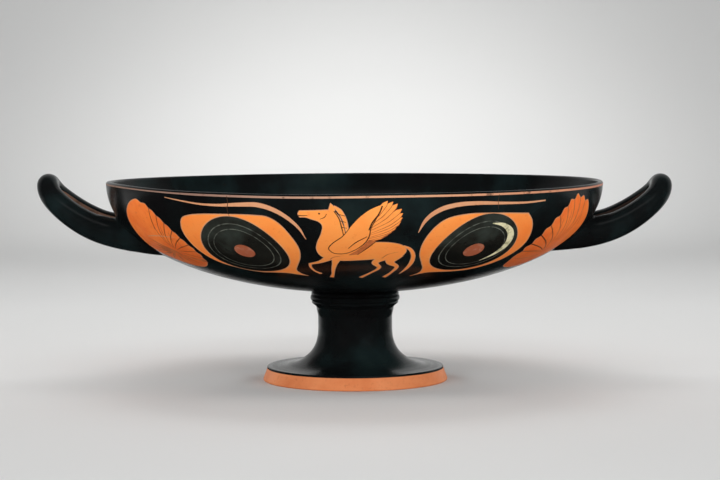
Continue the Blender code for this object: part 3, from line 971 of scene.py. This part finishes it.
def root_ring(skin, ring, steps):
    """Where a fillet leaves the wall round one root, as chart points, and where the rod comes out of it."""
    foot = at_steps(skin, steps)
    away = at_steps(ring, steps)
    _, normal = wall_point(*chart_place(foot))
    along_wall = unit(away - normal * np.einsum("ij,ij->i", away, normal)[:, None])
    azimuth, run = chart_place(foot + along_wall * fillet_reach()[:, None])
    azimuth = azimuth - 360 * np.floor((azimuth - SEAM_AZIMUTH) / 360)
    return np.stack([azimuth, run], 1), foot


def fillet_rows(edge, foot, rod):
    """Rings that leave the wall smoothly at a fillet's edge and run smoothly into the rod."""
    start, _ = wall_point(edge[:, 0], edge[:, 1])
    shares = [step / (FILLET_RINGS + 1) for step in range(FILLET_RINGS + 1)]
    return [(1 - t) ** 2 * start + 2 * t * (1 - t) * foot + t * t * rod for t in shares]


def handle_rows(skin, first, last, step_length, start_ring, end_ring, foot_start, foot_end):
    """Rings of the whole handle, fillets included, from one root to the other."""
    grip = fillet_reach() / step_length
    start = first + grip
    end = last - grip
    shares = [step / ROD_RINGS for step in range(ROD_RINGS + 1)]
    rod = [at_steps(skin, start * (1 - t) + end * t) for t in shares]
    start_fillet = fillet_rows(start_ring, foot_start, at_steps(skin, start))
    end_fillet = fillet_rows(end_ring, foot_end, at_steps(skin, end))
    return np.array(start_fillet + rod + end_fillet[::-1])


def add_handle(surface, rows, start_numbers, end_numbers, side):
    """Faces of a handle between the two rings of vertices that the wall already has."""
    along = np.gradient(rows, axis=0)
    around = np.roll(rows, -1, axis=1) - np.roll(rows, 1, axis=1)
    normals = unit(np.cross(around, along))
    middle = rows.mean(1, keepdims=True)
    if np.einsum("ijk,ijk->", normals, rows - middle) < 0:
        normals = -normals
    numbers = [start_numbers]
    for index in range(1, len(rows) - 1):
        numbers.append(surface.add(rows[index], normals[index]))
    numbers.append(end_numbers)
    angle = (np.arange(ROD_SIDES) + 0.5) * 360 / ROD_SIDES
    bare = np.minimum(angle, 360 - angle) < BARE_HALF_ANGLE
    # The rod's bare inner side takes the handle clay, darkened with painted shade.
    materials = np.where(bare, SHADED_HANDLE_CLAY, GLOSS).tolist()
    for upper, lower in zip(numbers, numbers[1:]):
        surface.strip(upper, lower, materials, mirrored=side < 0)


# Materials

class Finish:
    """A material whose nodes are added one at a time. Where a source is asked for, it may be another
    node's output, a plain number or a plain colour."""

    def __init__(self, name):
        self.material = bpy.data.materials.new(name)
        self.material.use_nodes = True
        self.nodes = self.material.node_tree.nodes
        self.links = self.material.node_tree.links
        self.shader = self.nodes["Principled BSDF"]

    def feed(self, socket, source):
        if isinstance(source, bpy.types.NodeSocket):
            self.links.new(source, socket)
        elif isinstance(source, tuple):
            socket.default_value = (*source, 1.0)
        else:
            socket.default_value = source

    def shade(self, colour, roughness, specular):
        """Sets the main shader and gives the finished material."""
        self.feed(self.shader.inputs["Base Color"], colour)
        self.feed(self.shader.inputs["Roughness"], roughness)
        self.feed(self.shader.inputs["Specular IOR Level"], specular)
        return self.material

    def place(self):
        return self.nodes.new("ShaderNodeTexCoord").outputs["Object"]

    def along(self, place, axis):
        """A place's coordinate on one axis."""
        split = self.nodes.new("ShaderNodeSeparateXYZ")
        self.feed(split.inputs[0], place)
        return split.outputs[axis]

    def joined(self, x, y, z):
        node = self.nodes.new("ShaderNodeCombineXYZ")
        for socket, source in zip(node.inputs, (x, y, z)):
            self.feed(socket, source)
        return node.outputs[0]

    def sum(self, operation, first, second):
        node = self.nodes.new("ShaderNodeMath")
        node.operation = operation
        self.feed(node.inputs[0], first)
        self.feed(node.inputs[1], second)
        return node.outputs[0]

    def stretch(self, value, low, high):
        """A value from low to high as a share from 0 to 1."""
        node = self.nodes.new("ShaderNodeMapRange")
        self.feed(node.inputs["Value"], value)
        node.inputs["From Min"].default_value = low
        node.inputs["From Max"].default_value = high
        return node.outputs["Result"]

    def noise(self, vector, scale, detail=4.0, roughness=0.55):
        node = self.nodes.new("ShaderNodeTexNoise")
        self.feed(node.inputs["Vector"], vector)
        node.inputs["Scale"].default_value = scale
        node.inputs["Detail"].default_value = detail
        node.inputs["Roughness"].default_value = roughness
        return node.outputs["Fac"]

    def ramp(self, value, *stops):
        """Colours by a value. Each stop is a place from 0 to 1 and its colour."""
        node = self.nodes.new("ShaderNodeValToRGB")
        elements = node.color_ramp.elements
        while len(elements) < len(stops):
            elements.new(0.5)
        for element, (place, colour) in zip(elements, stops):
            element.position = place
            element.color = (*colour, 1.0)
        self.feed(node.inputs["Fac"], value)
        return node.outputs["Color"]

    def grey_ramp(self, value, start, end):
        """Greys by a value, from one (place, grey) pair to another."""
        return self.ramp(value, *((place, (grey, grey, grey)) for place, grey in (start, end)))

    def mix(self, share, first, second):
        node = self.nodes.new("ShaderNodeMix")
        node.data_type = "RGBA"
        self.feed(node.inputs["Factor"], share)
        for name, source in (("A", first), ("B", second)):
            socket = [s for s in node.inputs if s.name == name and s.type == "RGBA"][0]
            self.feed(socket, source)
        return [s for s in node.outputs if s.type == "RGBA"][0]

    def bump(self, height, distance, strength):
        node = self.nodes.new("ShaderNodeBump")
        self.feed(node.inputs["Height"], height)
        node.inputs["Distance"].default_value = distance
        node.inputs["Strength"].default_value = strength
        self.feed(self.shader.inputs["Normal"], node.outputs["Normal"])


def gloss_material():
    """Black gloss, greener in clouds, with the faint turning marks of the wheel."""
    finish = Finish("black_gloss")
    place = finish.place()
    across = finish.along(place, "X")
    flat = finish.joined(across, finish.along(place, "Y"), 0.0)
    length = finish.nodes.new("ShaderNodeVectorMath")
    length.operation = "LENGTH"
    finish.feed(length.inputs[0], flat)
    wheel = finish.joined(
        length.outputs["Value"], finish.sum("MULTIPLY", across, WHEEL_DRIFT), finish.along(place, "Z"))
    cloud = finish.noise(place, 20.0, 5.0)
    colour = finish.ramp(
        cloud, (0.34, (0.0042, 0.0038, 0.0040)), (0.48, (0.0048, 0.0062, 0.0064)),
        (0.60, (0.0075, 0.0135, 0.0140)), (0.76, (0.0125, 0.0215, 0.0200)))
    thin = finish.noise(place, 75.0, 6.0, 0.7)
    rubbed = finish.grey_ramp(thin, (0.66, 0), (0.82, 0.5))
    streak = finish.noise(wheel, 260.0, 2.0)
    finish.bump(finish.noise(wheel, 160.0, 1.0), 0.0003, 0.08)
    return finish.shade(
        finish.mix(rubbed, colour, (0.018, 0.010, 0.006)),
        finish.grey_ramp(streak, (0.3, 0.20), (0.7, 0.27)), GLOSS_SPECULAR)


def clay_material(name, light, deep, stain, painted_middle_light=False, low=None):
    """Bare fired clay: mottled, finely grained, with small darker stains. It may have painted light, lighter
    towards the middle of the front and towards the rim, and painted shade, a darker colour low on the wall."""
    finish = Finish(name)
    place = finish.place()
    cloud = finish.noise(place, 60.0, 5.0)
    share = finish.grey_ramp(cloud, (0.32, 1), (0.70, 0))
    if painted_middle_light:
        # Painted light: the clay is lighter towards the rim and towards the middle of the front.
        risen = finish.stretch(finish.along(place, "Z"), *CLAY_PAINTED_LIGHT_UPWARDS)
        sideways = finish.sum("ABSOLUTE", finish.along(place, "X"), 0.0)
        inward = finish.stretch(sideways, *CLAY_PAINTED_LIGHT_INWARDS)
        share = finish.sum("MULTIPLY", share, 0.30)
        risen = finish.sum("MULTIPLY", risen, 0.35)
        inward = finish.sum("MULTIPLY", inward, 0.32)
        share = finish.sum("ADD", share, finish.sum("ADD", risen, inward))
    body = finish.mix(share, deep, light)
    # Painted shade: a darker red low on the wall.
    if low:
        painted_shade_share = finish.stretch(finish.along(place, "Z"), *CLAY_PAINTED_SHADE_DOWNWARDS)
        body = finish.mix(finish.sum("MULTIPLY", painted_shade_share, 0.75), body, low)
    specks = finish.grey_ramp(finish.noise(place, 420.0, 3.0), (0.58, 0), (0.74, 0.4))
    finish.bump(finish.noise(place, 1500.0, 2.0), 0.0002, 0.2)
    return finish.shade(
        finish.mix(specks, body, stain), finish.grey_ramp(cloud, (0.3, 0.40), (0.7, 0.52)), CLAY_SPECULAR)


def iris_material():
    """Thinner, greener gloss inside the eyes, paler towards their top."""
    finish = Finish("thin_gloss")
    place = finish.place()
    up = finish.stretch(finish.along(place, "Z"), *IRIS_PALES_UPWARDS)
    cloud = finish.grey_ramp(finish.noise(place, 45.0, 5.0), (0.38, 0.1), (0.64, 0.6))
    share = finish.sum("ADD", finish.sum("MULTIPLY", up, 0.55), cloud)
    share = finish.sum("SUBTRACT", share, 0.15)
    body = finish.ramp(
        share, (0.0, (0.005, 0.0055, 0.005)), (0.45, (0.013, 0.0125, 0.010)), (1.0, (0.040, 0.050, 0.042)))
    return finish.shade(body, 0.26, GLOSS_SPECULAR)


def worn_material(name, colour, worn_to, wear_from, wear_to, roughness, scale=240.0):
    """A thin colour, rubbed through in places to what is under it."""
    finish = Finish(name)
    rub = finish.noise(finish.place(), scale, 6.0, 0.65)
    share = finish.grey_ramp(rub, (wear_from, 0), (wear_to, 1))
    return finish.shade(finish.mix(share, colour, worn_to), roughness, 0.25)


def sideways_material(name, stops, worn_to, wear_from, wear_to):
    """A thin colour that changes from the cup's left to its right, rubbed through in places."""
    finish = Finish(name)
    place = finish.place()
    colour = finish.ramp(finish.stretch(finish.along(place, "X"), *SIDE_TO_SIDE), *stops)
    share = finish.grey_ramp(finish.noise(place, 130.0, 6.0, 0.7), (wear_from, 0), (wear_to, 1))
    return finish.shade(finish.mix(share, colour, worn_to), 0.45, CLAY_SPECULAR)


def make_materials():
    rim_stops = [
        (0.0, (0.24, 0.15, 0.11)), (0.24, (0.28, 0.16, 0.12)), (0.40, (0.44, 0.25, 0.17)),
        (0.55, (0.60, 0.31, 0.18)), (0.88, (0.58, 0.25, 0.14)), (1.0, (0.42, 0.17, 0.12))]
    # The handles' clay is darkened with painted shade, more on the right than on the left.
    handle_shade_stops = [
        (0.0, (0.24, 0.13, 0.085)), (0.35, (0.20, 0.11, 0.07)), (0.65, (0.05, 0.028, 0.020)),
        (1.0, (0.045, 0.025, 0.018))]
    reserved = ((0.88, 0.335, 0.075), (0.90, 0.185, 0.020), (0.66, 0.15, 0.03))
    palmette = ((0.88, 0.21, 0.030), (0.78, 0.13, 0.014), (0.48, 0.09, 0.02))
    foot = ((0.70, 0.25, 0.10), (0.60, 0.18, 0.065), (0.36, 0.11, 0.04))
    # Pale clay: the brows' colour, and the painted highlight along the edges of reserved shapes.
    pale = ((0.63, 0.31, 0.165), (0.57, 0.25, 0.12), (0.44, 0.17, 0.08))
    dilute = ((0.36, 0.088, 0.024), (0.62, 0.16, 0.035))
    return {
        GLOSS: gloss_material(),
        CLAY: clay_material("reserved_clay_painted_light", *reserved, painted_middle_light=True),
        PALMETTE: clay_material("palmette_clay_painted_shade", *palmette, low=(0.48, 0.075, 0.010)),
        LINE: worn_material("relief_line", (0.035, 0.014, 0.006), (0.20, 0.06, 0.015), 0.55, 0.8, 0.35),
        CREAM: worn_material("added_white", (0.72, 0.66, 0.42), (0.22, 0.22, 0.10), 0.50, 0.68, 0.6),
        WORN: worn_material("worn_white", (0.12, 0.13, 0.105), (0.02, 0.02, 0.016), 0.42, 0.62, 0.5),
        IRIS: iris_material(),
        RED: worn_material("added_red", (0.36, 0.088, 0.036), (0.42, 0.19, 0.12), 0.52, 0.70, 0.55),
        FOOT_CLAY: clay_material("foot_clay", *foot),
        DILUTE: worn_material("dilute_gloss", *dilute, 0.44, 0.66, 0.45, 170.0),
        PALE_CLAY_AND_HIGHLIGHT: clay_material("pale_clay_and_highlight", *pale),
        RIM_CLAY: sideways_material("rim_line", rim_stops, (0.06, 0.03, 0.02), 0.56, 0.70),
        SHADED_HANDLE_CLAY: sideways_material("handle_clay_painted_shade", handle_shade_stops, (0.02, 0.011, 0.008), 0.48, 0.72),
    }


# The cup

def inside_material(out, up):
    if out > RIM_RADIUS - LIP_RADIUS and up < RIM_HEIGHT - RIM_LINE_TOP:
        return RIM_CLAY
    if TONDO_LINE_INNER < out < TONDO_LINE_OUTER:
        return PALMETTE
    return GLOSS


def foot_material(out, up):
    return GLOSS if up > FOOT_BARE_BELOW else FOOT_CLAY


def build_cup():
    surface = Surface()
    handles = []
    holes = []
    both = ((1, RIGHT_HANDLE_RISE, RIGHT_LOW_SWELL), (-1, LEFT_HANDLE_RISE, LEFT_LOW_SWELL))
    for side, rise, fullest in both:
        skin, ring, first, last, step_length = handle_rods(side, rise, fullest)
        start_ring, foot_start = root_ring(skin, ring, first)
        end_ring, foot_end = root_ring(skin, ring, last)
        rows = handle_rows(skin, first, last, step_length, start_ring, end_ring, foot_start, foot_end)
        handles.append((rows, side))
        holes += [start_ring, end_ring]
    top_ring, end_ring, rims = add_painted_wall(surface, holes)
    for index, (rows, side) in enumerate(handles):
        add_handle(surface, rows, rims[2 * index], rims[2 * index + 1], side)
    add_turned(surface, inside_profile(), BOWL_COLUMNS, inside_material, last_ring=top_ring)
    under = add_turned(surface, under_bowl_profile(), BOWL_COLUMNS, GLOSS, first_ring=end_ring)
    outer = add_turned(surface, join(stem_profile(), foot_profile()), STEM_COLUMNS, foot_material)
    add_turned(surface, underside_profile(), STEM_COLUMNS, FOOT_CLAY, first_ring=outer[-1])
    surface.halving_strip(under[-1], outer[0], GLOSS)
    return surface


def with_uneven_rim(places):
    """The same places with the rim raised and lowered as it is round the real cup."""
    out = np.hypot(places[:, 0], places[:, 1])
    bowl_only = np.clip((RIM_RADIUS + UNEVEN_FADE - out) / UNEVEN_FADE, 0.0, 1.0)
    raised = places.copy()
    raised[:, 2] += rim_rise(azimuth_of(places)) * rim_share(places[:, 2]) * bowl_only
    return raised


def make_object(surface, materials):
    mesh = bpy.data.meshes.new("kylix_cup")
    places = with_uneven_rim(np.vstack(surface.places)) * MM
    mesh.from_pydata(places.tolist(), [], surface.faces)
    for key in sorted(materials):
        mesh.materials.append(materials[key])
    mesh.polygons.foreach_set("material_index", surface.materials)
    mesh.polygons.foreach_set("use_smooth", [True] * len(mesh.polygons))
    mesh.normals_split_custom_set_from_vertices(np.vstack(surface.normals).tolist())
    mesh.update()
    cup = bpy.data.objects.new("kylix_cup", mesh)
    bpy.context.scene.collection.objects.link(cup)
    return cup


# The room: a pale floor that sweeps up behind, soft lights and the photograph's camera

FLOOR_REACH = 8.0
MIRRORED_FROM = 0.2
SWEEP_START = 1.2
SWEEP_RADIUS = 0.9
BACKDROP_TOP = 3.5
CUP_MIDDLE = (0, 0, 0.09)
SIDE_PANEL = (1.4, 0.9)
CAMERA_PLACE = (0.0035, -1.45, 0.193)
CAMERA_PITCH = 3.92
CAMERA_ROLL = 0.25
CAMERA_LENS = 108.6
CAMERA_SENSOR = 36.0


def stage_material():
    """Pale and matt from the front. Its back lets everything through, so that the cup is seen from
    behind the backdrop too."""
    finish = Finish("pale_floor")
    material = finish.shade((0.74, 0.74, 0.73), 0.9, 0.1)
    nodes = finish.nodes
    either = nodes.new("ShaderNodeMixShader")
    either = nodes.new("ShaderNodeMixShader")
    finish.feed(either.inputs["Fac"], nodes.new("ShaderNodeNewGeometry").outputs["Backfacing"])
    finish.feed(either.inputs[1], finish.shader.outputs["BSDF"])
    finish.feed(either.inputs[2], nodes.new("ShaderNodeBsdfTransparent").outputs["BSDF"])
    finish.feed(nodes["Material Output"].inputs["Surface"], either.outputs["Shader"])
    return material


def make_stage():
    """A pale floor that sweeps up behind. Only the part well behind the cup is mirrored in the gloss."""
    sweep = [(MIRRORED_FROM, 0.0), (SWEEP_START, 0.0)]
    for angle in np.radians(np.arange(-80, 1, 10)):
        sweep.append((SWEEP_START + SWEEP_RADIUS * cos(angle), SWEEP_RADIUS + SWEEP_RADIUS * sin(angle)))
    sweep.append((SWEEP_START + SWEEP_RADIUS, BACKDROP_TOP))
    material = stage_material()
    for name, profile in (("floor", [(-FLOOR_REACH, 0.0), (MIRRORED_FROM, 0.0)]), ("backdrop", sweep)):
        places = [(x, y, z) for y, z in profile for x in (-FLOOR_REACH, FLOOR_REACH)]
        faces = [(2 * k, 2 * k + 1, 2 * k + 3, 2 * k + 2) for k in range(len(profile) - 1)]
        mesh = bpy.data.meshes.new(name)
        mesh.from_pydata(places, [], faces)
        mesh.polygons.foreach_set("use_smooth", [True] * len(mesh.polygons))
        mesh.materials.append(material)
        ground = bpy.data.objects.new(name, mesh)
        ground.visible_glossy = name == "backdrop"
        bpy.context.scene.collection.objects.link(ground)


def place_light(name, lamp, place, target, power):
    lamp.energy = power
    light = bpy.data.objects.new(name, lamp)
    light.location = place
    light.rotation_euler = (Vector(target) - Vector(place)).to_track_quat("-Z", "Y").to_euler()
    light.visible_camera = False
    light.visible_glossy = False
    bpy.context.scene.collection.objects.link(light)
    return light


def make_panel(name, place, target, size, power):
    """A soft rectangular light that leaves no bright patch on the gloss."""
    lamp = bpy.data.lights.new(name, "AREA")
    lamp.shape = "RECTANGLE"
    lamp.size, lamp.size_y = size
    return place_light(name, lamp, place, target, power)


def make_spot(name, place, target, angle, softness, power):
    lamp = bpy.data.lights.new(name, "SPOT")
    lamp.spot_size = radians(angle)
    lamp.spot_blend = 1.0
    lamp.shadow_soft_size = softness
    return place_light(name, lamp, place, target, power)


def make_lights():
    world = bpy.data.worlds.new("room")
    world.use_nodes = True
    background = world.node_tree.nodes["Background"]
    background.inputs["Color"].default_value = (0.97, 0.98, 1.0, 1.0)
    background.inputs["Strength"].default_value = 0.285
    world.cycles_visibility.glossy = False
    bpy.context.scene.world = world
    make_panel("key", (-1.35, -1.75, 0.62), CUP_MIDDLE, SIDE_PANEL, 28)
    make_panel("fill", (1.45, -1.70, 0.62), CUP_MIDDLE, SIDE_PANEL, 28)
    make_panel("overhead", (0, 0.5, 2.2), (0, 0.5, 0), (2.6, 2.0), 2)
    make_panel("back_left", (-1.9, 2.6, 1.0), CUP_MIDDLE, SIDE_PANEL, 9)
    make_panel("back_right", (1.9, 2.6, 1.0), CUP_MIDDLE, SIDE_PANEL, 9)
    make_panel("front_soft", (0, -1.0, 1.7), (0, -0.1, 0), (1.6, 0.6), 2.5)
    make_spot("backdrop_glow", (0, 1.0, 1.7), (0, 1.60, 0.1), 38, 0.25, 70)
    make_spot("floor_glow", (0, 0.6, 1.53), (0, 0.6, 0.0), 86, 0.6, 30)
    make_spot("middle_glow", (0, 0.5, 1.2), (0, 0.5, 0.0), 42, 0.5, 20)
    highlight = make_panel("highlight", (0.1, -0.9, 1.5), (0, 0, 0.06), (1.6, 0.3), 2)
    highlight.visible_glossy = True
    for side in (-1, 1):
        make_spot("low_back", (0.75 * side, 0.65, 0.32), (0, 0.02, 0), 34, 0.25, 20)


def make_camera():
    camera = bpy.data.cameras.new("camera")
    camera.sensor_width = CAMERA_SENSOR
    camera.lens = CAMERA_LENS
    thing = bpy.data.objects.new("camera", camera)
    thing.matrix_world = (
        Matrix.Translation(CAMERA_PLACE) @ Matrix.Rotation(pi / 2 - radians(CAMERA_PITCH), 4, "X")
        @ Matrix.Rotation(-radians(CAMERA_ROLL), 4, "Z"))
    camera.clip_start = 0.05
    camera.clip_end = 20.0
    bpy.context.scene.collection.objects.link(thing)
    bpy.context.scene.camera = thing


cup = make_object(build_cup(), make_materials())
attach(cup, "root")
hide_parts("kylix")
make_stage()
make_lights()
make_camera()
bpy.context.scene.view_settings.view_transform = "Standard"
